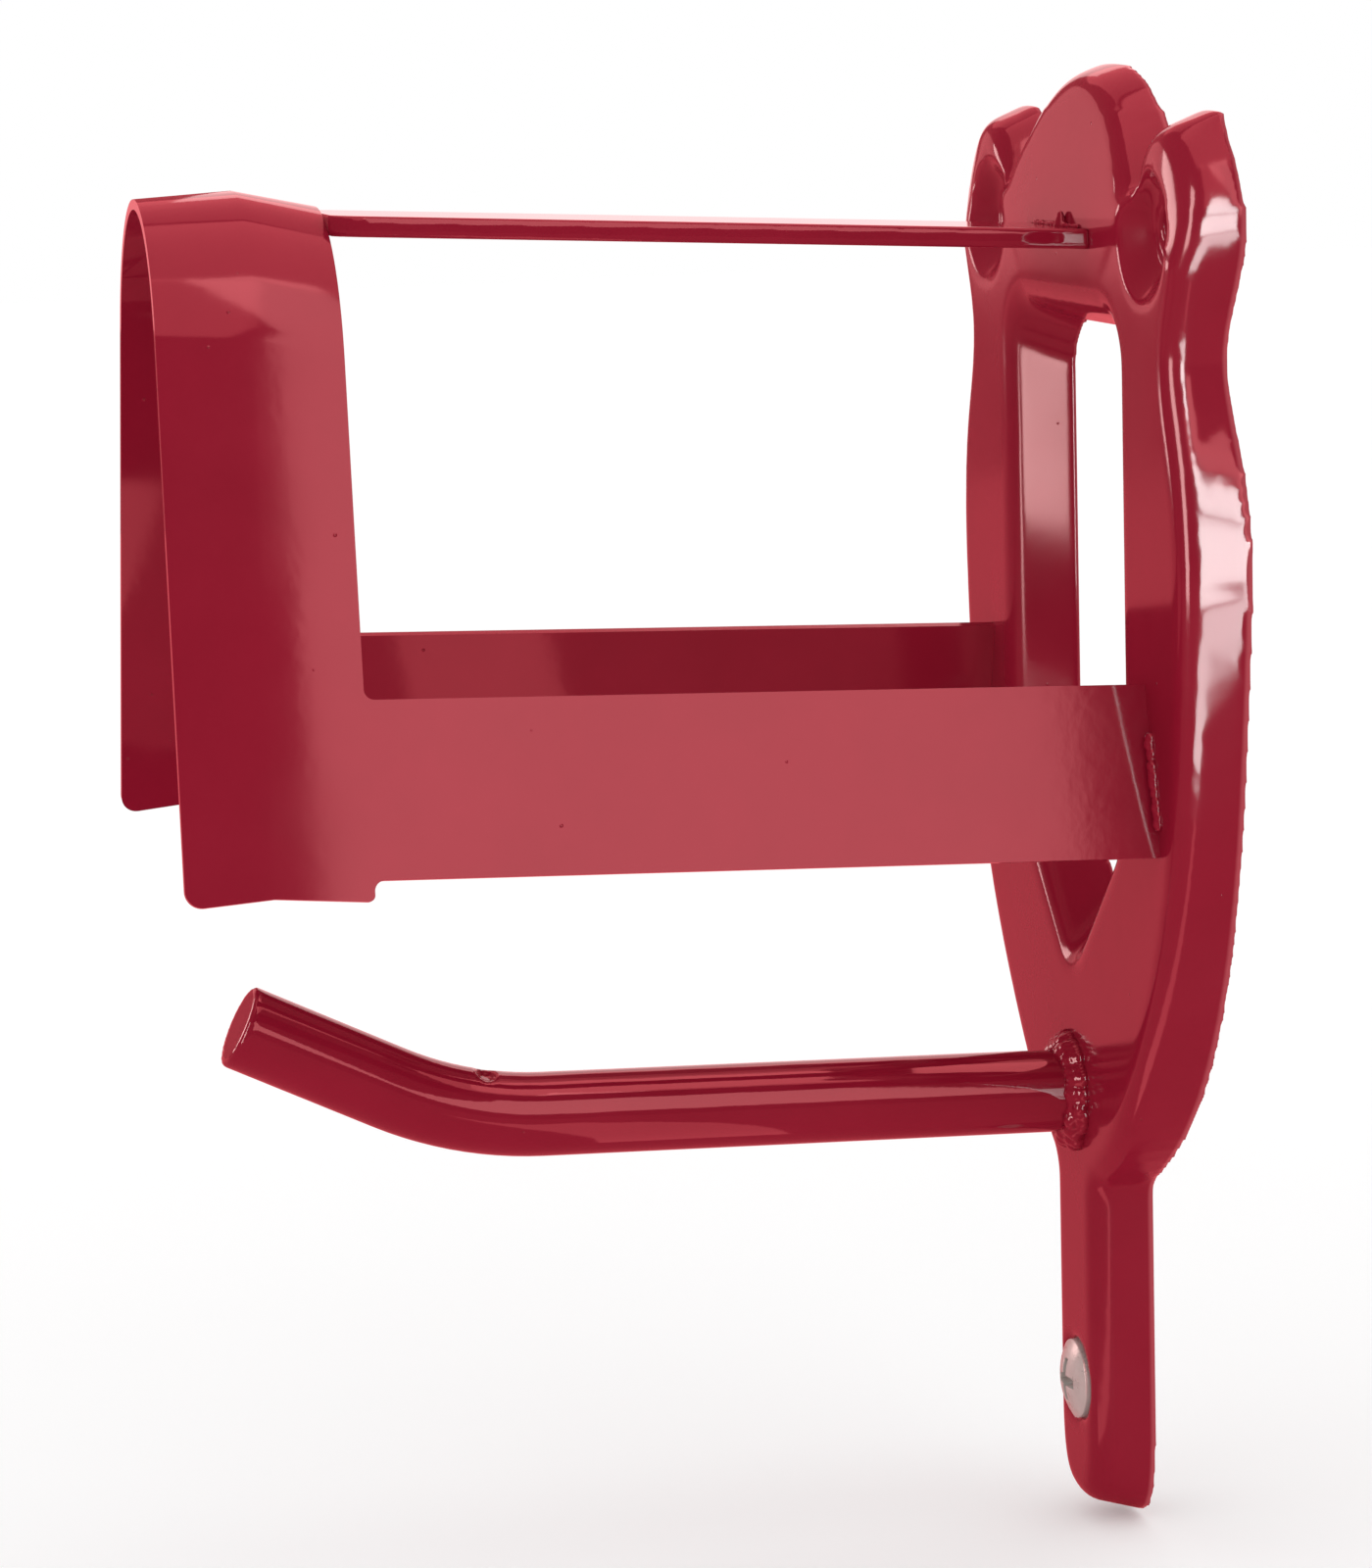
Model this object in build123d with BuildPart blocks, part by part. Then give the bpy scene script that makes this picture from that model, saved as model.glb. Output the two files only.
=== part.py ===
from build123d import *
from math import atan2, cos, degrees, radians, sin, tan
import os

# A wall hanger for a bridle, in millimetres. The wall is the plane Y = 0, the front looks
# along -Y, Z is up and X = 0 is the plane of symmetry. Z = 0 is level with the lower screw.

# Wall plate: outline against the wall, right half
plate_depth = 8.0
plate_sheet = 1.6
rim_bend = 3.0
tongue_half = 7.9
tongue_end_z = -17.6
tongue_shoulder_z = -3.5
neck_z = 26.4
neck_radius = 3.5
hip_half, hip_z = 24.6, 38.7
flank_half, flank_z = 38.7, 62.9
belly_half, belly_z = 45.0, 95.0
shoulder_half, shoulder_z = 43.7, 117.5
waist_half, waist_z = 38.1, 130.3
lobe_half, lobe_z = 44.9, 144.0
lobe_turn_half, lobe_turn_z = 43.2, 151.5
lobe_round_half, lobe_round_z = 38.9, 157.2
lobe_peak_half, lobe_peak_z = 33.8, 158.6
notch_half, notch_z = 23.8, 149.5
notch_radius = 2.0
crown_turn_half, crown_turn_z = 16.2, 158.6
crown_lobe_z = 163.8

# How far the front outline is drawn in from the wall outline
tongue_draft = 2.5
hip_draft = 3.0
side_draft = 1.6
waist_draft = -2.0
lobe_draft = 1.8
lobe_peak_draft = 3.4
crown_draft = 2.8

# Which way the outline faces where it turns, in degrees from +X
hip_faces = -56.5
flank_faces = -20.6
lobe_turn_faces = 26.6
lobe_round_faces = 49.4
lobe_peak_faces = 68.2
crown_turn_faces = 59.5
neck_mitre = 0.5

# The crown leans back from the flat front, and the ears fall away outwards from a slanting crease
lean_from_z = 146.0
lean_angle = 10.0
ear_crease_half, ear_crease_z = 38.0, 143.0
ear_angle = 12.0

# Slot with drawn-in edges; its top and tip move by a share of what its sides do
slot_half = 22.4
slot_top_z = 134.8
slot_side_z = 74.0
slot_tip_z = 52.0
slot_draw = 6.0
slot_corner_radius = 6.0
slot_side_radius = 18.0
slot_tip_radius = 4.0
slot_bend = 4.0
slot_rear_gap = 0.4
slot_top_share = 0.55
slot_tip_share = 1.35

# Screw seats
upper_hole_spacing = 62.0
upper_hole_z = 144.5
upper_hole_radius = 2.75
upper_seat_radius = 4.6
upper_dish_radius = 8.3
upper_dish_depth = 3.4
dish_growth = 0.65
lower_dish_radius = 5.4
lower_dish_depth = 0.8

# Lower screw
screw_head_radius = 4.95
screw_head_side = 1.0
screw_head_height = 2.4
screw_shank_radius = 2.1
screw_shank_length = 6.0
screw_hole_clearance = 0.15
recess_width = 1.3
recess_span = 5.4
recess_depth = 1.5

# Cradle: an arch of sheet with splayed legs and two arms, tilted a little up at the front
cradle_sheet = 1.2
cradle_tilt = 2.34
arm_mid_z = 82.5
arm_height = 19.6
leg_splay = 14.3
leg_half = 31.7
leg_fold = 1.5
arch_front, arch_crease, arch_rear = 112.6, 102.5, 91.6
crown_front, crown_crease, crown_rear = 64.2, 65.3, 63.0
foot_front, foot_crease, foot_rear = -12.9, -11.5, -12.2
foot_corner_radius = 2.0
step_corner_radius = 0.7
arch_lean = 1.1
arch_trim = 2.0
arm_corner_radius = 1.2

# Top strap
strap_width = 25.0
strap_thickness = 2.4
strap_top_z = 144.2
strap_tilt = 3.1
strap_edge_radius = 0.5
strap_corner_radius = 6.0
strap_lap = 0.4

# Hook bar
hook_radius = 5.1
hook_z = 37.2
hook_corner = (-84.9, 40.0)
hook_tip = (-111.5, 53.4)
hook_bend_radius = 45.0
hook_edge_radius = 0.6

# Weld beads
hook_weld_leg = 3.2
hook_weld_lip = 0.4
arm_weld_leg = 1.7
arm_weld_length = 11.0
arm_weld_drop = 1.5
strap_weld_leg = 1.7
strap_weld_length = 17.0
strap_end_weld_leg = 1.3
strap_end_weld_length = 8.0
strap_end_weld_z = 62.3
bead_hollow = 0.55
bead_root = 0.4

front_y = -plate_depth
wall_plane = Plane.XZ
front_plane = Plane.XZ.offset(plate_depth)
overrun = 5.0


def tilted_plane(height, tilt):
    """Plane on the plate's front at a height, its normal pointing forward and up by a tilt."""
    forward = (0, -cos(radians(tilt)), sin(radians(tilt)))
    return Plane(origin=(0, front_y, height), x_dir=(1, 0, 0), z_dir=forward)


def drawn_in(x, z, amount, faces):
    """Point of an outline moved in by an amount, against the way the outline faces there."""
    return (x - amount * cos(radians(faces)), z - amount * sin(radians(faces)))


def plate_outline(drafted, inset):
    """Plate outline, at the wall (drafted 0) or at the front (drafted 1), with an even inset."""
    tongue_x = tongue_half - inset
    hip_in = drafted * hip_draft + inset
    side_in = drafted * side_draft + inset
    lobe_in = drafted * lobe_draft + inset
    peak_in = drafted * lobe_peak_draft + inset
    crown_in = drafted * crown_draft + inset
    tongue_end = (0, tongue_end_z + drafted * tongue_draft + inset)
    tongue_side = (tongue_x, tongue_shoulder_z)
    neck = (tongue_x, neck_z + neck_mitre * inset)
    hip = drawn_in(hip_half, hip_z, hip_in, hip_faces)
    flank = drawn_in(flank_half, flank_z, side_in, flank_faces)
    belly = (belly_half - side_in, belly_z)
    shoulder = (shoulder_half - side_in, shoulder_z)
    waist = (waist_half - drafted * waist_draft - inset, waist_z)
    lobe_side = (lobe_half - lobe_in, lobe_z)
    lobe_turn = drawn_in(lobe_turn_half, lobe_turn_z, lobe_in, lobe_turn_faces)
    lobe_round = drawn_in(lobe_round_half, lobe_round_z, (lobe_in + peak_in) / 2, lobe_round_faces)
    lobe_peak = drawn_in(lobe_peak_half, lobe_peak_z, peak_in, lobe_peak_faces)
    notch = (notch_half, notch_z - crown_in)
    crown_turn = drawn_in(crown_turn_half, crown_turn_z, crown_in, crown_turn_faces)
    crown = (0, crown_lobe_z - crown_in)
    with BuildSketch() as outline:
        with BuildLine():
            Spline([tongue_end, tongue_side], tangents=[(1, 0), (0, 1)])
            Line(tongue_side, neck)
            Spline(
                [neck, hip, flank, belly, shoulder, waist, lobe_side, lobe_turn, lobe_round, lobe_peak],
                tangents=[(1, 0.6), (-1, 0)],
            )
            Spline([lobe_peak, notch], tangents=[(-1, 0), (-1, -0.7)])
            Spline([notch, crown_turn, crown], tangents=[(-0.6, 1), (-1, 0)])
            mirror(about=Plane.YZ)
        make_face()
        for corner, radius in ((notch, notch_radius + inset), (neck, neck_radius + inset)):
            near = outline.vertices().sort_by(lambda v: abs(abs(v.X) - corner[0]) + abs(v.Y - corner[1]))
            fillet(near[:2], radius=radius)
    return outline.sketch


def slot_outline(drawn):
    """Shield-shaped slot: square top, straight sides, pointed foot."""
    half = slot_half - drawn
    top = slot_top_z - slot_top_share * drawn
    tip = slot_tip_z + slot_tip_share * drawn
    with BuildSketch() as outline:
        with BuildLine():
            Polyline(
                (-half, top),
                (half, top),
                (half, slot_side_z),
                (0, tip),
                (-half, slot_side_z),
                close=True,
            )
        make_face()
        fillet(outline.vertices().group_by(Axis.Y)[-1], radius=slot_corner_radius)
        fillet(outline.vertices().sort_by(Axis.Y)[0], radius=slot_tip_radius)
        sides = outline.vertices().filter_by(lambda v: abs(v.Y - slot_side_z) < 0.1)
        fillet(sides, radius=slot_side_radius)
    return outline.sketch


def dish(mouth, seat, depth, face_y, x, z):
    """Dished screw seat sunk from a face towards the wall, as a turned solid."""
    with BuildPart() as turned:
        with BuildSketch(Plane(origin=(x, 0, z), x_dir=(1, 0, 0), z_dir=(0, 0, 1))):
            with BuildLine():
                Polyline(
                    (0, face_y - overrun),
                    (mouth, face_y - overrun),
                    (mouth, face_y),
                    (seat, face_y + depth),
                    (0, face_y + depth),
                    close=True,
                )
            make_face()
        revolve(axis=Axis((x, 0, z), (0, 1, 0)))
    return turned.part


def pressing(inset):
    """Solid bounded by one skin of the pressed plate: inset 0 is the outside."""
    depth = plate_depth - inset
    face_y = -depth
    with BuildPart() as form:
        with BuildSketch(wall_plane):
            add(plate_outline(0, inset))
        with BuildSketch(wall_plane.offset(depth)):
            add(plate_outline(1, inset))
        loft(ruled=True, clean=False)

        lean_rise = crown_lobe_z - lean_from_z
        with BuildSketch(Plane.YZ):
            with BuildLine():
                Polyline(
                    (face_y, lean_from_z),
                    (face_y + lean_rise * tan(radians(lean_angle)), crown_lobe_z),
                    (face_y - overrun, crown_lobe_z),
                    (face_y - overrun, lean_from_z),
                    close=True,
                )
            make_face()
        extrude(amount=belly_half + overrun, both=True, mode=Mode.SUBTRACT, clean=False)

        ear_fall = sin(radians(ear_angle)) * sin(radians(45))
        for side in (-1, 1):
            crease = (side * ear_crease_half, face_y, ear_crease_z)
            ear_faces = (side * ear_fall, -cos(radians(ear_angle)), ear_fall)
            split(bisect_by=Plane(origin=crease, x_dir=(side, 0, -1), z_dir=ear_faces), keep=Keep.BOTTOM)

        fronts = form.faces().filter_by(lambda f: f.normal_at().Y < -0.9)
        shared = [edge for front in fronts for edge in front.edges()]
        rim = [e for e in shared if sum(e.is_same(other) for other in shared) == 1]
        fillet(rim, radius=rim_bend - inset)

        with BuildSketch(wall_plane.offset(depth)):
            add(slot_outline(-inset))
        with BuildSketch(wall_plane):
            add(slot_outline(slot_draw - inset))
        loft(ruled=True, mode=Mode.SUBTRACT, clean=False)
        front = form.faces().filter_by(lambda f: f.normal_at().Y < -0.99).sort_by(SortBy.AREA)[-1]
        fillet(front.inner_wires()[0].edges(), radius=slot_bend - inset)

        mouth = upper_dish_radius + dish_growth * inset
        seat = upper_seat_radius + dish_growth * inset
        for side in (-1, 1):
            hole_x = side * upper_hole_spacing / 2
            add(dish(mouth, seat, upper_dish_depth, face_y, hole_x, upper_hole_z), mode=Mode.SUBTRACT)
    return form.part


outside = pressing(0)
cavity = pressing(plate_sheet)

with BuildPart() as back_plate:
    add(outside)
    add(cavity, mode=Mode.SUBTRACT)
    with BuildSketch(wall_plane):
        add(slot_outline(-plate_sheet))
    extrude(amount=slot_rear_gap, mode=Mode.SUBTRACT)
    with Locations(Plane(origin=(0, front_y, upper_hole_z), x_dir=(1, 0, 0), z_dir=(0, -1, 0))):
        with GridLocations(upper_hole_spacing, 1, 2, 1):
            Hole(radius=upper_hole_radius, depth=plate_depth)
    with Locations(Plane(origin=(0, front_y, 0), x_dir=(1, 0, 0), z_dir=(0, -1, 0))):
        CounterBoreHole(
            radius=screw_shank_radius + screw_hole_clearance,
            counter_bore_radius=lower_dish_radius,
            counter_bore_depth=lower_dish_depth,
            depth=plate_depth,
        )
back_plate.part.label = "back_plate"


def arch_section(crown, foot, leg_x):
    """Cross-section of the arch: round crown, splayed legs, feet cut square to the sheet."""
    splay = radians(leg_splay)
    out_x, out_z = cos(splay), sin(splay)
    crown_radius = (leg_x * out_x - crown * out_z) / (1 - out_z)
    centre = crown - crown_radius
    inner_radius = crown_radius - cradle_sheet
    foot_x = leg_x - foot * tan(splay)
    with BuildSketch() as section:
        with BuildLine():
            outer_foot = (foot_x, foot)
            outer_spring = (crown_radius * out_x, centre + crown_radius * out_z)
            inner_foot = (foot_x - cradle_sheet * out_x, foot - cradle_sheet * out_z)
            inner_spring = (inner_radius * out_x, centre + inner_radius * out_z)
            Line(inner_foot, outer_foot)
            Line(outer_foot, outer_spring)
            ThreePointArc(outer_spring, (0, crown), (-outer_spring[0], outer_spring[1]))
            Line((-outer_spring[0], outer_spring[1]), (-outer_foot[0], outer_foot[1]))
            Line((-outer_foot[0], outer_foot[1]), (-inner_foot[0], inner_foot[1]))
            Line((-inner_foot[0], inner_foot[1]), (-inner_spring[0], inner_spring[1]))
            ThreePointArc((-inner_spring[0], inner_spring[1]), (0, crown - cradle_sheet), inner_spring)
            Line(inner_spring, inner_foot)
        make_face()
    return section.sketch


cradle_plane = tilted_plane(arm_mid_z, cradle_tilt)
arm_x = leg_half + leg_fold
rear_edge = cradle_plane.offset(arch_rear).rotated((arch_lean, 0, 0))
front_edge = cradle_plane.offset(arch_front).rotated((arch_lean, 0, 0))

# One arm, drawn in its own sheet: forward is x, up the leg is y. Its inner corners are
# rounded into the leg's rear edge, which leans forward at the top.
leg_up = cradle_plane.y_dir * cos(radians(leg_splay)) - cradle_plane.x_dir * sin(radians(leg_splay))
leg_out = cradle_plane.x_dir * cos(radians(leg_splay)) + cradle_plane.y_dir * sin(radians(leg_splay))
arm_root = cradle_plane.from_local_coords(Vector(arm_x, 0, 0))
arm_half = arm_height / 2 / cos(radians(leg_splay))
edge_lean = degrees(atan2(tan(radians(arch_lean)) * cos(radians(leg_splay)), 1))
edge_dir = Vector(sin(radians(edge_lean)), cos(radians(edge_lean)))
with BuildPart() as arm:
    with BuildSketch(Plane(origin=arm_root, x_dir=cradle_plane.z_dir, z_dir=-leg_out)):
        with BuildLine():
            ends = []
            for side in (1, -1):
                corner = Vector(arch_rear, 0) + edge_dir * (side * arm_half / edge_dir.Y)
                run = arm_corner_radius / tan(radians(45 + side * edge_lean / 2))
                flare = corner - Vector(run, 0)
                tip = corner + edge_dir * (side * run)
                Line((-overrun, side * arm_half), flare)
                RadiusArc(flare, tip, -side * arm_corner_radius)
                ends.append(tip)
            Line(ends[0], ends[1])
            Line((-overrun, arm_half), (-overrun, -arm_half))
        make_face()
    extrude(amount=cradle_sheet)

with BuildPart() as cradle:
    with BuildSketch(cradle_plane.offset(arch_front + arch_trim)):
        add(arch_section(crown_front, foot_front, leg_half))
    with BuildSketch(cradle_plane.offset(arch_crease)):
        add(arch_section(crown_crease, foot_crease, arm_x))
    with BuildSketch(cradle_plane.offset(arch_rear - arch_trim)):
        add(arch_section(crown_rear, foot_rear, arm_x))
    loft(ruled=True)
    split(bisect_by=front_edge, keep=Keep.BOTTOM)
    split(bisect_by=rear_edge, keep=Keep.TOP)
    across_sheet = cradle.edges().filter_by(lambda e: e.length < 1.2 * cradle_sheet)
    fillet(across_sheet.sort_by(Axis.Y)[:2], radius=foot_corner_radius)
    across_sheet = cradle.edges().filter_by(lambda e: e.length < 1.2 * cradle_sheet)
    fillet(across_sheet.sort_by(Axis.Y)[-2:], radius=step_corner_radius)
    add(arm.part)
    mirror(arm.part, about=Plane.YZ)
    split(bisect_by=front_plane, keep=Keep.TOP)
cradle.part.label = "cradle"

strap_length = arch_rear + strap_lap
strap_plane = tilted_plane(strap_top_z, strap_tilt)
strap_top = Plane(origin=strap_plane.origin, x_dir=-strap_plane.x_dir, z_dir=strap_plane.y_dir)
with BuildPart() as top_strap:
    with BuildSketch(strap_top) as strap_plan:
        with Locations((0, (strap_length - overrun) / 2)):
            Rectangle(strap_width, strap_length + overrun)
        fillet(strap_plan.vertices().group_by(Axis.Y)[-1], radius=strap_corner_radius)
    extrude(amount=-strap_thickness)
    fillet(top_strap.faces().filter_by(strap_top).edges(), radius=strap_edge_radius)
    split(bisect_by=front_plane, keep=Keep.TOP)
    split(bisect_by=rear_edge, keep=Keep.BOTTOM)
top_strap.part.label = "top_strap"

hook_rise = (hook_corner[1] - hook_z) / (front_y - hook_corner[0])
hook_root = (front_y + overrun, hook_z - overrun * hook_rise)
with BuildPart() as hook_bar:
    with BuildLine(Plane.YZ) as hook_path:
        FilletPolyline(hook_root, hook_corner, hook_tip, radius=hook_bend_radius)
    with BuildSketch(Plane(origin=hook_path.line @ 0, z_dir=hook_path.line % 0)):
        Circle(hook_radius)
    sweep()
    tip_edge = hook_bar.edges().filter_by(GeomType.CIRCLE).sort_by(Axis.Y)[0]
    fillet(tip_edge, radius=hook_edge_radius)
    split(bisect_by=front_plane, keep=Keep.TOP)
hook_bar.part.label = "hook_bar"

seat_y = front_y + lower_dish_depth
with BuildPart() as lower_screw:
    with BuildSketch(Plane.XY):
        with BuildLine():
            rim_y = seat_y - screw_head_side
            top_y = seat_y - screw_head_height
            Line((0, top_y), (0, seat_y + screw_shank_length))
            Polyline(
                (0, seat_y + screw_shank_length),
                (screw_shank_radius, seat_y + screw_shank_length),
                (screw_shank_radius, seat_y),
                (screw_head_radius, seat_y),
                (screw_head_radius, rim_y),
            )
            TangentArc((0, top_y), (screw_head_radius, rim_y), tangent=(1, 0))
        make_face()
    revolve(axis=Axis.Y)
    with BuildSketch(Plane.XZ.offset(-top_y)):
        Rectangle(recess_span, recess_width)
        Rectangle(recess_width, recess_span)
    extrude(amount=-recess_depth, mode=Mode.SUBTRACT)
lower_screw.part.label = "lower_screw"

with BuildPart() as hook_weld:
    with BuildSketch(Plane(origin=(0, 0, hook_z), x_dir=(1, 0, 0), z_dir=(0, 0, 1))):
        with BuildLine():
            weld_out = hook_radius + hook_weld_leg
            weld_top = (hook_radius + hook_weld_lip, front_y - hook_weld_leg)
            weld_mid = (hook_radius + hook_weld_leg / 2, front_y - bead_hollow * hook_weld_leg)
            Polyline((weld_out, front_y), (0, front_y), (0, weld_top[1]), weld_top)
            ThreePointArc(weld_top, weld_mid, (weld_out, front_y))
        make_face()
    revolve(axis=Axis((0, 0, hook_z), (0, 1, 0)))
    add(hook_bar.part, mode=Mode.SUBTRACT)
hook_weld.part.label = "hook_weld"


def bead(plane, leg, length):
    """Fillet bead in a corner: it fills x > 0, y < 0 of a plane, run both ways along its normal."""
    with BuildPart() as run:
        with BuildSketch(plane):
            with BuildLine():
                root = bead_root * leg
                middle = bead_hollow * leg
                Polyline((0, -leg), (-root, -leg), (-root, root), (leg, root), (leg, 0))
                ThreePointArc((leg, 0), (middle, -middle), (0, -leg))
            make_face()
        extrude(amount=length / 2, both=True)
    return run.part


with BuildPart() as right_arm_weld:
    arm_corner = Plane(origin=arm_root - leg_up * arm_weld_drop, x_dir=leg_out, z_dir=leg_up)
    add(bead(arm_corner, arm_weld_leg, arm_weld_length))
    split(bisect_by=front_plane, keep=Keep.TOP)
    split(bisect_by=Plane(origin=arm_root, x_dir=cradle_plane.z_dir, z_dir=leg_out), keep=Keep.TOP)
right_arm_weld.part.label = "right_arm_weld"

with BuildPart() as left_arm_weld:
    mirror(right_arm_weld.part, about=Plane.YZ)
left_arm_weld.part.label = "left_arm_weld"

rear_corner = Plane(origin=strap_plane.origin, x_dir=(0, 0, 1), z_dir=(-1, 0, 0))
with BuildPart() as strap_rear_weld:
    add(bead(rear_corner, strap_weld_leg, strap_weld_length))
    split(bisect_by=front_plane, keep=Keep.TOP)
    split(bisect_by=strap_top, keep=Keep.TOP)
strap_rear_weld.part.label = "strap_rear_weld"

strap_end = rear_edge.from_local_coords(Vector(0, strap_end_weld_z, 0))
front_corner = Plane(origin=strap_end, x_dir=-rear_edge.y_dir, z_dir=(1, 0, 0))
with BuildPart() as strap_front_weld:
    add(bead(front_corner, strap_end_weld_leg, strap_end_weld_length))
    split(bisect_by=rear_edge, keep=Keep.TOP)
    add(cradle.part, mode=Mode.SUBTRACT)
strap_front_weld.part.label = "strap_front_weld"

os.makedirs("parts", exist_ok=True)
export_step(back_plate.part, "parts/back_plate.step")
export_step(cradle.part, "parts/cradle.step")
export_step(top_strap.part, "parts/top_strap.step")
export_step(hook_bar.part, "parts/hook_bar.step")
export_step(lower_screw.part, "parts/lower_screw.step")
export_step(hook_weld.part, "parts/hook_weld.step")
export_step(left_arm_weld.part, "parts/left_arm_weld.step")
export_step(right_arm_weld.part, "parts/right_arm_weld.step")
export_step(strap_rear_weld.part, "parts/strap_rear_weld.step")
export_step(strap_front_weld.part, "parts/strap_front_weld.step")
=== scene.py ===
# %% [markdown]
# # A wall hanger for a bridle, in red powder-coated steel
# The hanger is a pressed wall plate with two screw lobes and a slot, a sheet arch that carries the
# bridle's headpiece on two arms, a flat strap above, and a round bar hook below. This lesson takes
# the measured parts as a fixed frame, softens their edges the way a thick coat does, adds the weld
# beads that hold them together, and gives them their finishes.

# %% Load the measured parts
import bpy
import math
from mathutils import Matrix, Vector


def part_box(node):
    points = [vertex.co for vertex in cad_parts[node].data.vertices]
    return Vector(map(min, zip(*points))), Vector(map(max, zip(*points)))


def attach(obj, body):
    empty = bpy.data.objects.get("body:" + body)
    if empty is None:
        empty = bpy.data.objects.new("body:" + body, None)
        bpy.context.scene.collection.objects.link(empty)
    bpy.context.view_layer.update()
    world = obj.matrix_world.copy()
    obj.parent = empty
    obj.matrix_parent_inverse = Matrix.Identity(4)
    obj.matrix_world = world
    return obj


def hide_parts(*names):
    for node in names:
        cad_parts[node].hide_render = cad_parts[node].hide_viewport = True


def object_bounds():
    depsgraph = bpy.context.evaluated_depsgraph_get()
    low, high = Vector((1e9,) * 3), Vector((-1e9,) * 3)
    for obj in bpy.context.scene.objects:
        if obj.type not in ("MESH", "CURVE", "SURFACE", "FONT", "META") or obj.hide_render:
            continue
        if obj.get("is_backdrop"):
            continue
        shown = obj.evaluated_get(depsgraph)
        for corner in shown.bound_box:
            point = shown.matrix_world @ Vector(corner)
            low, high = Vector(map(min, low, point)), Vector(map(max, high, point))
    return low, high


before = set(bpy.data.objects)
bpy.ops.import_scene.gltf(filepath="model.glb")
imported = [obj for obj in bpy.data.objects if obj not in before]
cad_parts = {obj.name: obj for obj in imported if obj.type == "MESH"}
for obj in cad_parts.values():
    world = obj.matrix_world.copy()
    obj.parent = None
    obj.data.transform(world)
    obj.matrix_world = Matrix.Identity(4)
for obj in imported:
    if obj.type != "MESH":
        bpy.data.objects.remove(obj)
cad_low, cad_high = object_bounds()
print("parts:", sorted(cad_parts))
print("box in mm:", [round(1000 * s, 1) for s in cad_high - cad_low])

# %% [markdown]
# ## Camera
# The picture was taken from the hanger's right, a little in front of the wall and a little above.
# A long lens from about half a metre keeps the perspective of the photograph: the near arm is
# visibly larger than the far one. A tracking constraint could aim the camera, but building it from
# its three directions also gives the slight roll of the picture. The focal length is in pixels of
# the photograph.

# %% Camera
look_azimuth = math.radians(77.3934)
look_elevation = math.radians(9.3708)
look_roll = math.radians(-1.6969)
look_at = Vector((0, -0.060, 0.090))
look_distance = 0.541808
slide_right, slide_up = 0.004244, -0.010625
photo_width, focal_length = 1400, 4599.857

back = Vector((
    math.sin(look_azimuth) * math.cos(look_elevation),
    -math.cos(look_azimuth) * math.cos(look_elevation),
    math.sin(look_elevation),
))
level_right = Vector((0, 0, 1)).cross(back).normalized()
level_up = back.cross(level_right)
right = level_right * math.cos(look_roll) + level_up * math.sin(look_roll)
up = level_up * math.cos(look_roll) - level_right * math.sin(look_roll)

stand = look_at + right * slide_right + up * slide_up + back * look_distance
bpy.ops.object.camera_add(location=stand)
camera = bpy.context.object
camera.name = "photo_camera"
camera.matrix_world = Matrix.Translation(stand) @ Matrix((right, up, back)).transposed().to_4x4()
camera.data.sensor_fit = "HORIZONTAL"
camera.data.sensor_width = 36
camera.data.lens = camera.data.sensor_width * focal_length / photo_width
camera.data.clip_start, camera.data.clip_end = 0.01, 20
bpy.context.scene.camera = camera
print("camera at", [round(c, 3) for c in camera.location])

# %% [markdown]
# ## Helpers for pieces that start from a measured part
# A measured part is loose triangles with knife-sharp edges. A powder coat is a tenth of a
# millimetre thick and pulls round every edge. So each piece starts as a copy of its part, with its
# points merged, has its edges rounded, and then gets its finish and takes the place of the part that
# it stands for, which is hidden. The measured parts themselves are never touched.

# %% Copy a part and put a piece in its place
def deselect():
    bpy.ops.object.select_all(action="DESELECT")


def make_active(piece):
    deselect()
    piece.select_set(True)
    bpy.context.view_layer.objects.active = piece


def copy_part(node, name):
    """A welded copy of a measured part, as a new object at the origin."""
    piece = bpy.data.objects.new(name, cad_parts[node].data.copy())
    bpy.context.collection.objects.link(piece)
    make_active(piece)
    bpy.ops.object.mode_set(mode="EDIT")
    bpy.ops.mesh.select_all(action="SELECT")
    bpy.ops.mesh.remove_doubles(threshold=0.000002)
    bpy.ops.object.mode_set(mode="OBJECT")
    return piece


def hand_in(piece, material, slot, *nodes):
    """Give a finished piece its finish, its body and the parts that it stands for."""
    piece.data.materials.clear()
    piece.data.materials.append(material)
    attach(piece, "root")
    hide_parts(*nodes)
    piece.data.calc_loop_triangles()
    print(piece.name, len(piece.data.loop_triangles), "triangles")


# %% [markdown]
# ## Red powder coat
# The coat is a glossy deep red. Sprayed powder melts into a skin that is never quite flat, so
# reflections break up at their edges: two sizes of noise drive a small bump. Specks of dust lie
# under the skin, and the plate's sheared rim is painted paler over its last millimetre at the wall.
# The bar is the smoothest, the folded sheet less so and the pressed plate the least, so the same
# finish is mixed three times.

# %% Red coat
def new_material(name):
    material = bpy.data.materials.new(name)
    material.use_nodes = True
    return material, material.node_tree.nodes, material.node_tree.links


def add_node(nodes, kind, **values):
    node = nodes.new(kind)
    for key, value in values.items():
        setattr(node, key, value)
    return node


def noise(nodes, links, place, scale, detail, roughness):
    texture = add_node(nodes, "ShaderNodeTexNoise")
    links.new(place, texture.inputs["Vector"])
    texture.inputs["Scale"].default_value = scale
    texture.inputs["Detail"].default_value = detail
    texture.inputs["Roughness"].default_value = roughness
    return texture.outputs["Fac"]


def remap(nodes, links, value, from_low, from_high, to_low, to_high):
    node = add_node(nodes, "ShaderNodeMapRange")
    links.new(value, node.inputs["Value"])
    sockets = ("From Min", "From Max", "To Min", "To Max")
    for socket, number in zip(sockets, (from_low, from_high, to_low, to_high)):
        node.inputs[socket].default_value = number
    return node.outputs["Result"]


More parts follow.
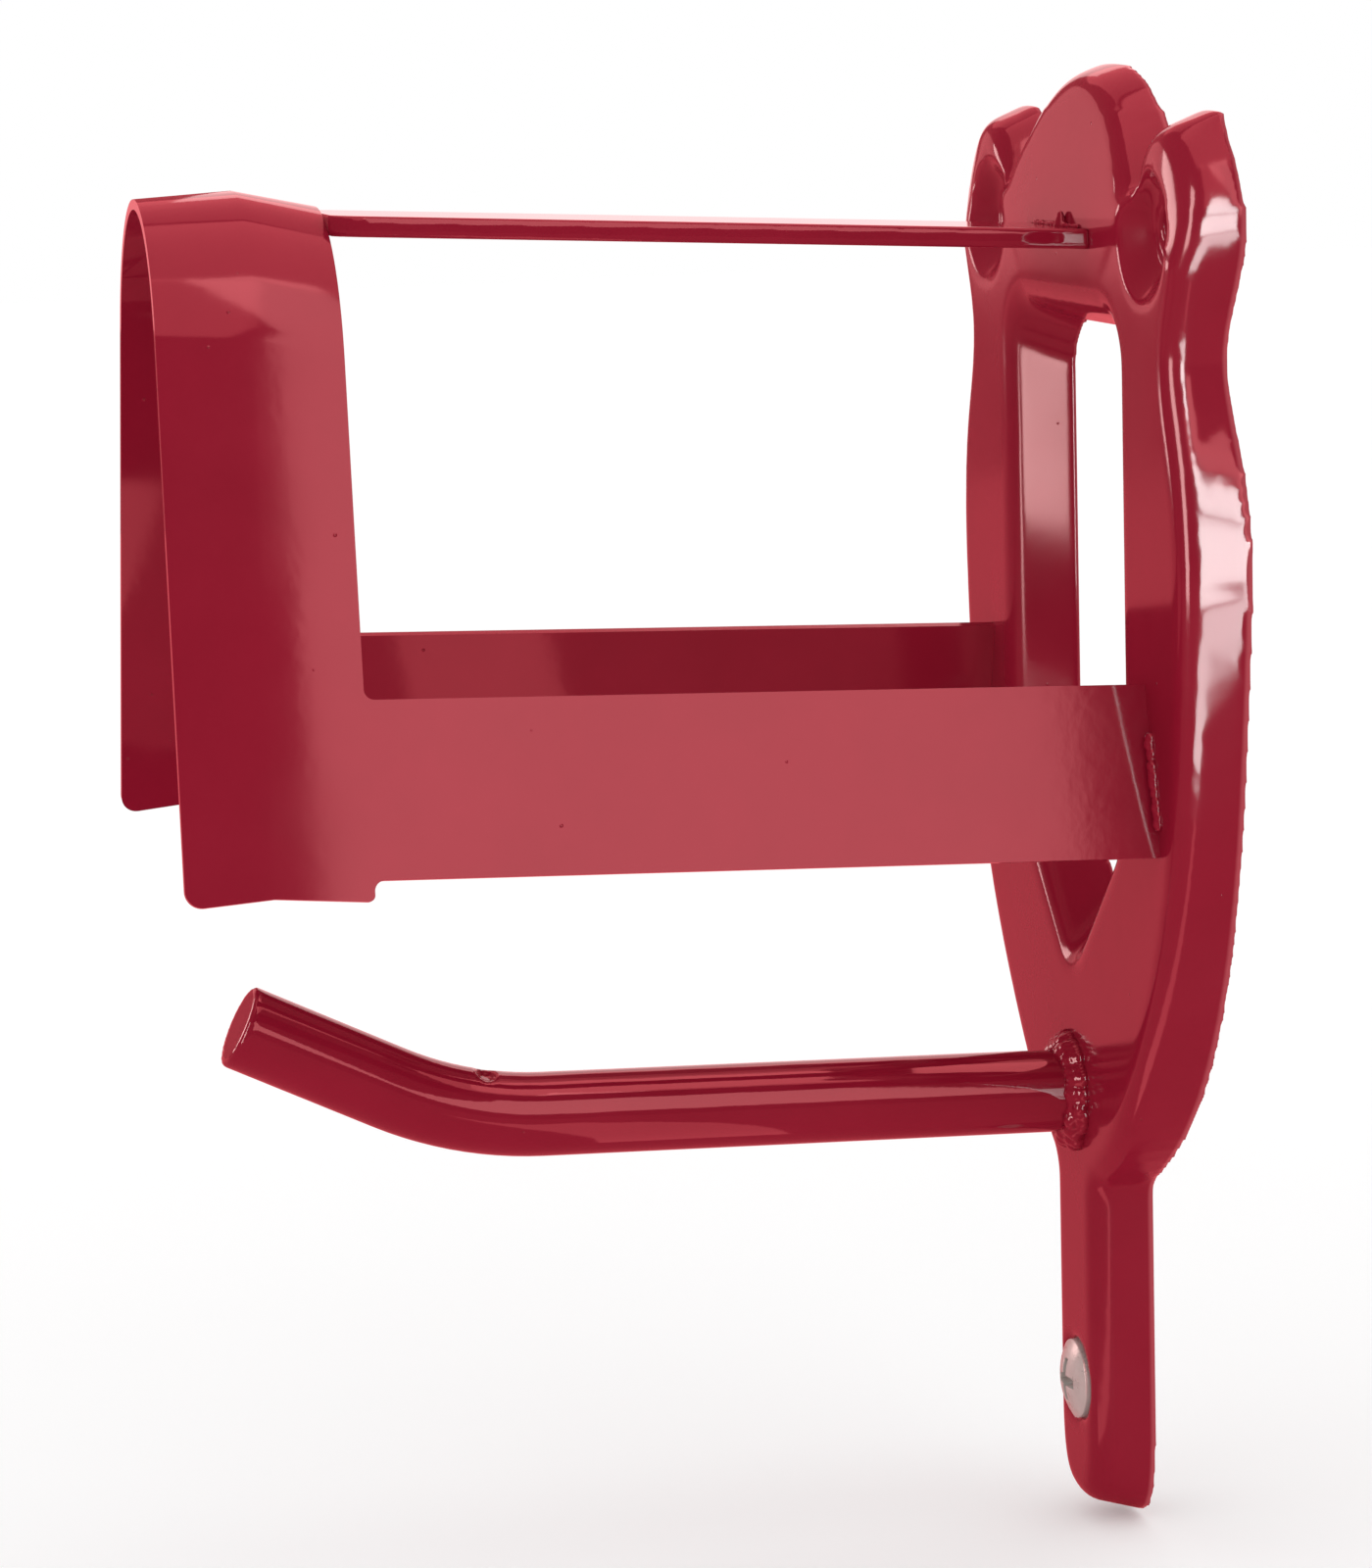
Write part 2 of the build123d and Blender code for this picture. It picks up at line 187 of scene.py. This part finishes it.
def mix_colour(nodes, links, share, first, second):
    node = add_node(nodes, "ShaderNodeMix", data_type="RGBA")
    links.new(share, node.inputs["Factor"])
    for socket, colour in ((node.inputs[6], first), (node.inputs[7], second)):
        if isinstance(colour, tuple):
            socket.default_value = (*colour, 1)
        else:
            links.new(colour, socket)
    return node.outputs[2]


def bump(nodes, links, height, distance, after=None):
    node = add_node(nodes, "ShaderNodeBump")
    node.inputs["Distance"].default_value = distance
    links.new(height, node.inputs["Height"])
    if after:
        links.new(after, node.inputs["Normal"])
    return node.outputs["Normal"]


deep_red, bright_red = (0.238, 0.0062, 0.0205), (0.260, 0.0074, 0.0235)
dust_red, rim_red = (0.20, 0.012, 0.022), (0.52, 0.10, 0.12)


def red_coat(name, gloss, rim=False):
    """The red finish; gloss is its least roughness, which wanders up to twice that."""
    material, nodes, links = new_material(name)
    shader = nodes["Principled BSDF"]
    place = add_node(nodes, "ShaderNodeTexCoord").outputs["Object"]

    mottle = remap(nodes, links, noise(nodes, links, place, 70, 3, 0.6), 0.3, 0.7, 0, 1)
    colour = mix_colour(nodes, links, mottle, deep_red, bright_red)

    specks = add_node(nodes, "ShaderNodeTexVoronoi")
    links.new(place, specks.inputs["Vector"])
    specks.inputs["Scale"].default_value = 170
    speck = remap(nodes, links, specks.outputs["Distance"], 0.015, 0.04, 1, 0)
    colour = mix_colour(nodes, links, speck, colour, dust_red)

    # The plate's rim is painted paler over its last millimetre towards the wall.
    if rim:
        split = add_node(nodes, "ShaderNodeSeparateXYZ")
        links.new(place, split.inputs[0])
        edge = remap(nodes, links, split.outputs["Y"], -0.0009, -0.0005, 0, 0.55)
        colour = mix_colour(nodes, links, edge, colour, rim_red)
    links.new(colour, shader.inputs["Base Color"])

    shine = noise(nodes, links, place, 45, 2, 0.5)
    links.new(remap(nodes, links, shine, 0.3, 0.7, gloss, 2 * gloss), shader.inputs["Roughness"])

    wave = bump(nodes, links, noise(nodes, links, place, 110, 2, 0.5), 0.000006)
    peel = bump(nodes, links, noise(nodes, links, place, 640, 2, 0.5), 0.000003, wave)
    links.new(bump(nodes, links, speck, 0.00004, peel), shader.inputs["Normal"])
    return material


red = red_coat("red_coat", 0.032)
red_sheet = red_coat("red_coat_sheet", 0.055)
red_plate = red_coat("red_coat_plate", 0.08, rim=True)
print("finishes:", red.name, red_sheet.name, red_plate.name)

# %% [markdown]
# ## Zinc screw finish
# The lower fixing is a small zinc-plated screw. Zinc is a grey metal with a faint yellow passivate
# and a fine uneven grain, so colour and roughness both wander. A full metal would only mirror the
# set, which is red, so the plating is mixed mostly as a dull grey with a quarter of metal in it.

# %% Zinc
def zinc_plate():
    material, nodes, links = new_material("zinc_screw")
    shader = nodes["Principled BSDF"]
    place = add_node(nodes, "ShaderNodeTexCoord").outputs["Object"]
    shader.inputs["Metallic"].default_value = 0.25
    cloud = noise(nodes, links, place, 420, 3, 0.6)
    grey = mix_colour(nodes, links, cloud, (0.42, 0.41, 0.38), (0.60, 0.59, 0.56))
    links.new(grey, shader.inputs["Base Color"])
    links.new(remap(nodes, links, cloud, 0.3, 0.7, 0.22, 0.42), shader.inputs["Roughness"])
    grain = noise(nodes, links, place, 1800, 2, 0.5)
    links.new(bump(nodes, links, grain, 0.00003), shader.inputs["Normal"])
    return material


zinc = zinc_plate()
print("finish:", zinc.name)

# %% [markdown]
# ## Wall plate
# The plate is pressed from one sheet, and its bends run in curves and flow into one another. A bevel
# would need clean edges to work on. Instead the copy is wrapped in a fine even skin with the Remesh
# modifier, about three cells through the sheet, and relaxed with Smooth, so only edges turn round.
# In the two notches beside the crown the measured wall is thinner than one cell and the skin would
# tear, so the plate is fattened there first. The crown's and the ears' tips are relaxed more, and a
# light Decimate takes points out of the calmest stretches.

# %% An even skin
def relax(piece, rounds, group=""):
    """Let every point of a piece, or of one group in it, drift toward its neighbours."""
    make_active(piece)
    drift = piece.modifiers.new("relax", "SMOOTH")
    drift.factor = 0.5
    drift.iterations = rounds
    drift.vertex_group = group
    bpy.ops.object.modifier_apply(modifier=drift.name)
    bpy.ops.object.shade_smooth()


def even_skin(piece, grain, rounds):
    """Wrap a piece in small even cells, which suits curved and melted forms, then relax it."""
    make_active(piece)
    skin = piece.modifiers.new("skin", "REMESH")
    skin.mode = "VOXEL"
    skin.voxel_size = grain
    bpy.ops.object.modifier_apply(modifier=skin.name)
    relax(piece, rounds)


# %% Wall plate
wall_plate = copy_part("back_plate", "wall_plate")
notch_x, notch_z = 0.0297, 0.1515
notch_width, notch_height = 0.0075, 0.0040
rim_from = -0.0006
notches = wall_plate.vertex_groups.new(name="notches")
for v in wall_plate.data.vertices:
    reach = math.hypot((abs(v.co.x) - notch_x) / notch_width, (v.co.z - notch_z) / notch_height)
    if reach < 2 and v.co.y < rim_from:
        notches.add([v.index], min(1, 2 - reach), "REPLACE")
fatten = wall_plate.modifiers.new("fatten", "DISPLACE")
fatten.strength = 0.0003
fatten.mid_level = 0
fatten.vertex_group = "notches"
bpy.ops.object.modifier_apply(modifier=fatten.name)
even_skin(wall_plate, 0.00052, 5)
print("skin of the plate:", len(wall_plate.data.vertices), "points")

# %% Tips of the wall plate
crown_from, ear_from, ear_side = 0.158, 0.1475, 0.026
tips = wall_plate.vertex_groups.new(name="tips")
for v in wall_plate.data.vertices:
    if v.co.z > crown_from or (v.co.z > ear_from and abs(v.co.x) > ear_side):
        tips.add([v.index], 1, "REPLACE")
relax(wall_plate, 30, "tips")
thin = wall_plate.modifiers.new("thin", "DECIMATE")
thin.ratio = 0.86
bpy.ops.object.modifier_apply(modifier=thin.name)
hand_in(wall_plate, red_plate, "red_coat", "back_plate")

# %% [markdown]
# ## Cradle
# The arch, its legs and the arms are one folded strip of thin sheet. It has real flats and bends,
# which a remesh would dimple, so its cut edges get a small bevel, and weighted normals let a flat
# keep its own shading while the facets of the arch run into one another.

# %% Cradle
def rounded_sheet(piece, width):
    """Round the cut edges of a sheet and let its flats and bends run smoothly into each other."""
    make_active(piece)
    bpy.ops.object.mode_set(mode="EDIT")
    bpy.ops.mesh.select_all(action="SELECT")
    bpy.ops.mesh.dissolve_limited(angle_limit=math.radians(0.5))
    bpy.ops.object.mode_set(mode="OBJECT")
    edges = piece.modifiers.new("edges", "BEVEL")
    edges.limit_method = "ANGLE"
    edges.angle_limit = math.radians(50)
    edges.width = width
    edges.segments = 3
    bpy.ops.object.modifier_apply(modifier=edges.name)
    bpy.ops.object.shade_smooth()
    flats = piece.modifiers.new("flats", "WEIGHTED_NORMAL")
    flats.weight = 80
    bpy.ops.object.modifier_apply(modifier=flats.name)


arched_cradle = copy_part("cradle", "arched_cradle")
rounded_sheet(arched_cradle, 0.00025)
hand_in(arched_cradle, red_sheet, "red_coat", "cradle")

# %% [markdown]
# ## Strap, hook and screw
# The strap is a flat bar, the hook a bent round bar and the screw a small turned part. Their ends
# are cut square, so the Remesh modifier's sharp mode wraps them: it follows straight edges, and a
# few rounds of Smooth then break them. The hook has a small nick on top of its bend: a stretched
# ball is cut out of the bar with a Boolean before it is wrapped.

# %% Strap
def edged_skin(piece, grain, rounds):
    """Wrap a piece in cells that follow its straight edges, which suits cut bar, then relax it."""
    make_active(piece)
    skin = piece.modifiers.new("skin", "REMESH")
    skin.mode = "SHARP"
    skin.octree_depth = 8
    skin.scale = min(0.99, max(piece.dimensions) / (grain * 2 ** skin.octree_depth))
    skin.use_remove_disconnected = False
    bpy.ops.object.modifier_apply(modifier=skin.name)
    relax(piece, rounds)


flat_strap = copy_part("top_strap", "flat_strap")
edged_skin(flat_strap, 0.0004, 3)
hand_in(flat_strap, red, "red_coat", "top_strap")

# %% Hook
round_hook = copy_part("hook_bar", "round_hook")
nick_place = (0.0012, -0.0818, 0.0460)
nick_radius, nick_stretch = 0.0014, 2.2
deselect()
bpy.ops.mesh.primitive_uv_sphere_add(segments=24, ring_count=16, radius=nick_radius, location=nick_place)
nick = bpy.context.object
nick.scale = (nick_stretch, 1, 1)
bpy.ops.object.transform_apply(location=True, rotation=True, scale=True)
make_active(round_hook)
cut = round_hook.modifiers.new("nick", "BOOLEAN")
cut.operation = "DIFFERENCE"
cut.object = nick
bpy.ops.object.modifier_apply(modifier=cut.name)
bpy.data.objects.remove(nick)
edged_skin(round_hook, 0.00047, 3)
hand_in(round_hook, red, "red_coat", "hook_bar")

# %% Screw
pan_screw = copy_part("lower_screw", "pan_screw")
edged_skin(pan_screw, 0.00012, 2)
hand_in(pan_screw, zinc, "zinc_screw", "lower_screw")

# %% [markdown]
# ## Weld beads
# Each bead is a run of overlapping drops of melted steel under the coat. A drop is a ball; balls of
# uneven size are set along the seam, joined, wrapped in one skin and relaxed until they read as
# ripples. A swept tube would be quicker, but it would look like a bead of putty.

# %% Melt balls into a bead
def uneven(i):
    """A repeatable number from -1 to 1 that jumps about with i."""
    return math.sin(12.9898 * i + 4.1 * math.sin(7.3 * i))


def melt(name, drops, grain, rounds):
    """Balls at their places and sizes, joined and melted together."""
    deselect()
    balls = []
    for place, radius in drops:
        bpy.ops.mesh.primitive_uv_sphere_add(segments=16, ring_count=10, radius=radius, location=place)
        balls.append(bpy.context.object)
    for ball in balls:
        ball.select_set(True)
    bpy.context.view_layer.objects.active = balls[0]
    bpy.ops.object.transform_apply(location=True, rotation=True, scale=True)
    bpy.ops.object.join()
    bead = bpy.context.object
    bead.name = name
    even_skin(bead, grain, rounds)
    return bead


# %% [markdown]
# ## Bead round the hook's root
# The bar is welded to the plate all round. Three rings of drops, each wider and closer to the plate
# than the last, build up the slope of the bead; a torus would have the same section everywhere.

# %% Bead round the hook's root
def ring_of_drops(node, count, out, stand_off, size):
    """Drops round the bar where it meets the plate, fatter on top."""
    low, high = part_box(node)
    middle = (low + high) / 2
    drops = []
    for i in range(count):
        turn = 2 * math.pi * i / count
        fat = size * (1 + 0.03 * uneven(i) + 0.16 * uneven(0.21 * i) + 0.08 * math.sin(turn))
        reach = out + 0.00035 * uneven(0.33 * i + 40)
        lift = stand_off * (1 + 0.08 * uneven(i + 9))
        place = (reach * math.cos(turn), high.y - lift, middle.z + reach * math.sin(turn))
        drops.append((place, fat))
    return drops


drops = ring_of_drops("hook_weld", 40, 0.0053, 0.0013, 0.0011)
drops += ring_of_drops("hook_weld", 42, 0.0058, 0.0008, 0.0012)
drops += ring_of_drops("hook_weld", 44, 0.0063, 0.0003, 0.0011)
hook_bead = melt("hook_bead", drops, 0.00016, 4)
hand_in(hook_bead, red, "red_coat", "hook_weld")

# %% [markdown]
# ## Beads along the arms and the strap
# The arms and the strap have thin straight beads. A row of drops along the seam is enough, and the
# part's box gives the seam's place. The strap's rear bead also has a blob near its middle.

# %% Beads along straight seams
def row_of_drops(start, end, count, size):
    """Drops along a line, jostled a little off it."""
    start, end = Vector(start), Vector(end)
    drops = []
    for i in range(count):
        place = start.lerp(end, (i + 0.5 + 0.2 * uneven(i)) / count)
        place += Vector((0.00010 * uneven(0.4 * i + 3), 0.00006 * uneven(i + 5), 0))
        drops.append((place, size * (1 + 0.05 * uneven(i + 17) + 0.25 * uneven(0.3 * i + 2))))
    return drops


def seam(node, lean, inset):
    """The two ends of a bead's seam, from its part's box; lean is how the seam shifts in X going up."""
    low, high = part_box(node)
    x = (low.x + high.x) / 2
    half = lean * (high.z - low.z) / 2
    return (x - half, high.y - inset, low.z + 0.0004), (x + half, high.y - inset, high.z - 0.0004)


for node, lean in (("right_arm_weld", -0.255), ("left_arm_weld", 0.255)):
    drops = row_of_drops(*seam(node, lean, 0.0002), 30, 0.00062)
    arm_bead = melt(node + "_bead", drops, 0.00011, 6)
    hand_in(arm_bead, red, "red_coat", node)

# %% Beads at the strap's two ends
low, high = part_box("strap_rear_weld")
corner_y, corner_z = high.y - 0.0002, low.z + 0.0001
drops = row_of_drops((low.x, corner_y, corner_z), (high.x, corner_y, corner_z), 40, 0.00034)
drops += [((0.0032, high.y - 0.0006, low.z + 0.0003 * k), 0.0009 - 0.0001 * k) for k in range(6)]
rear_bead = melt("strap_rear_bead", drops, 0.00013, 6)
hand_in(rear_bead, red, "red_coat", "strap_rear_weld")

low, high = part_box("strap_front_weld")
middle = (low + high) / 2
drops = row_of_drops((low.x, middle.y, middle.z), (high.x, middle.y, middle.z), 20, 0.00058)
front_bead = melt("strap_front_bead", drops, 0.00011, 5)
hand_in(front_bead, red, "red_coat", "strap_front_weld")

# %% [markdown]
# ## Floor and world
# The photograph has a plain white ground and very even light. A white world lights a pale floor and
# the hanger from all sides, and a little emission brings the floor up to white, so the ground needs
# no lamp and keeps the hanger's soft shadow.

# %% Floor
bpy.ops.mesh.primitive_plane_add(size=6, location=(0, 0, cad_low.z - 0.0005))
floor = bpy.context.object
floor.name = "floor"
pale, nodes, links = new_material("pale_floor")
nodes.clear()
lit = add_node(nodes, "ShaderNodeBsdfDiffuse")
lit.inputs["Color"].default_value = (0.85, 0.85, 0.85, 1)
lift = add_node(nodes, "ShaderNodeEmission")
lift.inputs["Strength"].default_value = 0.17
shown = add_node(nodes, "ShaderNodeAddShader")
links.new(lit.outputs[0], shown.inputs[0])
links.new(lift.outputs[0], shown.inputs[1])
links.new(shown.outputs[0], add_node(nodes, "ShaderNodeOutputMaterial").inputs["Surface"])
floor.data.materials.append(pale)
floor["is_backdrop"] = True
print("floor", round(1000 * (cad_low.z - floor.location.z), 2), "mm under the hanger")

# %% White world
world = bpy.data.worlds.new("white_studio")
bpy.context.scene.world = world
world.use_nodes = True
world.node_tree.nodes["Background"].inputs["Color"].default_value = (1, 1, 1, 1)
world.node_tree.nodes["Background"].inputs["Strength"].default_value = 1
print("world:", world.name)

# %% [markdown]
# ## Red cloth tent
# What gives the coat its form is what it mirrors. In a bare white studio a gloss coat looks milky, so
# a photographer hangs cloth round a glossy thing. Here a red cloth tent stands round the hanger. It
# shows in the gloss only: the camera, the shadows and the even light pass through it.

# %% Red cloth tent
def hang(cloth, name, colour):
    """Dye a cloth and hang it where only the gloss sees it."""
    cloth.name = name
    dyed, nodes, links = new_material(name)
    nodes.clear()
    matt = add_node(nodes, "ShaderNodeBsdfDiffuse")
    matt.inputs["Color"].default_value = (*colour, 1)
    links.new(matt.outputs[0], add_node(nodes, "ShaderNodeOutputMaterial").inputs["Surface"])
    cloth.data.materials.append(dyed)
    cloth.visible_camera = False
    cloth.visible_diffuse = False
    cloth.visible_transmission = False
    cloth.visible_shadow = False
    cloth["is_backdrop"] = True


deselect()
bpy.ops.mesh.primitive_cube_add(size=2.6, location=(0, 0, cad_low.z + 1.29))
hang(bpy.context.object, "tent_cloth", (0.56, 0.085, 0.10))
deselect()
bpy.ops.mesh.primitive_plane_add(size=2.6, location=(0, 0, cad_low.z - 0.0004))
hang(bpy.context.object, "ground_cloth", (0.95, 0.145, 0.17))
print("tent of red cloth, 2.6 m wide, seen by the gloss only")

# %% [markdown]
# ## Soft boxes
# The coat's half-bright reflections are pink and its brightest ones white. Each comes from a soft
# box that shows in the gloss only, so it shapes the surfaces and doesn't raise the level of light.
# A card on the floor does the same for surfaces that look down.

# %% Soft boxes
def soft_box(name, direction, distance, width, height, radiance, colour):
    """A soft box that only the gloss sees; its power follows from how bright its face should look."""
    aim = Vector((0, -0.05, 0.08))
    away = Vector(direction).normalized()
    lamp = bpy.data.lights.new(name, "AREA")
    lamp.shape = "RECTANGLE"
    lamp.size, lamp.size_y = width, height
    lamp.energy = radiance * math.pi * width * height
    lamp.color = colour
    box = bpy.data.objects.new(name, lamp)
    bpy.context.collection.objects.link(box)
    turn = away.to_track_quat("Z", "Y").to_matrix().to_4x4()
    box.matrix_world = Matrix.Translation(aim + away * distance) @ turn
    box.visible_camera = False
    box.visible_diffuse = False
    return box


def floor_card(name, place, width, height, radiance, colour):
    """A soft box that lies on the floor and faces up."""
    card = soft_box(name, (0, 0, 1), 0.9, width, height, radiance, colour)
    facing_up = Matrix.Rotation(math.pi, 4, "X")
    card.matrix_world = Matrix.Translation((*place, cad_low.z - 0.0002)) @ facing_up
    return card


rose, pink = (1, 0.2, 0.22), (1, 0.31, 0.325)
blush, shell, white = (1, 0.62, 0.61), (1, 0.78, 0.77), (1, 1, 1)
soft_box("key_box", (0.77, 0.17, 0.616), 0.9, 0.27, 1.04, 4.9, pink)
soft_box("brow_box", (0.655, -0.139, 0.743), 0.9, 0.30, 0.60, 2.6, rose)
soft_box("sky_box", (-0.70, 0.10, 0.70), 0.9, 0.60, 0.62, 1.0, rose)
soft_box("wall_box", (-0.935, -0.306, 0.155), 0.9, 0.30, 0.27, 0.85, pink)
soft_box("far_box", (-0.93, 0.25, 0.25), 0.9, 0.36, 0.60, 1.0, shell)
soft_box("top_box", (0.0, 0.05, 1.0), 0.9, 0.80, 0.80, 2.4, rose)
floor_card("floor_card", (0.105, -0.047), 0.19, 0.026, 2.4, rose)

# %% [markdown]
# ## Soft boxes for single pieces
# The plate's turned rim flashes white and the hook has a rosy top, but the cradle beside them has no
# such flash. A flag on a stand would shade the cradle in a studio. Light linking does the same here:
# a box gets the list of the pieces that it shows in.

# %% Soft boxes for single pieces
def only_for(name, boxes, *pieces):
    """Let some soft boxes show in some pieces only."""
    lit = bpy.data.collections.new(name)
    for piece in pieces:
        lit.objects.link(piece)
    for box in boxes:
        box.light_linking.receiver_collection = lit


bend = soft_box("bend_box", (0.988, -0.152, 0.026), 0.8, 0.22, 0.355, 18.0, white)
lobe = soft_box("lobe_box", (0.905, -0.105, 0.412), 0.8, 0.13, 0.262, 18.0, white)
ground = floor_card("ground_card", (0.50, -0.085), 0.50, 0.12, 12.0, white)
only_for("plate_only", (bend, lobe, ground), wall_plate)

front = soft_box("front_box", (0.45, -0.87, 0.06), 0.8, 0.24, 1.10, 11.5, blush)
window = soft_box("window_box", (-0.76, -0.60, 0.15), 0.9, 0.25, 0.28, 6.0, blush)
only_for("not_cradle", (front, window), wall_plate, round_hook, hook_bead, pan_screw)

hook_top = soft_box("hook_box", (0.12, 0.20, 0.95), 0.9, 0.80, 0.80, 3.0, rose)
only_for("hook_only", (hook_top,), round_hook)

# %% [markdown]
# ## View settings
# The Standard view shows a colour as it is written. The box of the dressed pieces is printed, as
# the box of the measured parts was at the start.

# %% View settings and the dressed box
bpy.context.scene.view_settings.view_transform = "Standard"
low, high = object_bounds()
print("visual box in mm:", [round(1000 * s, 1) for s in high - low])
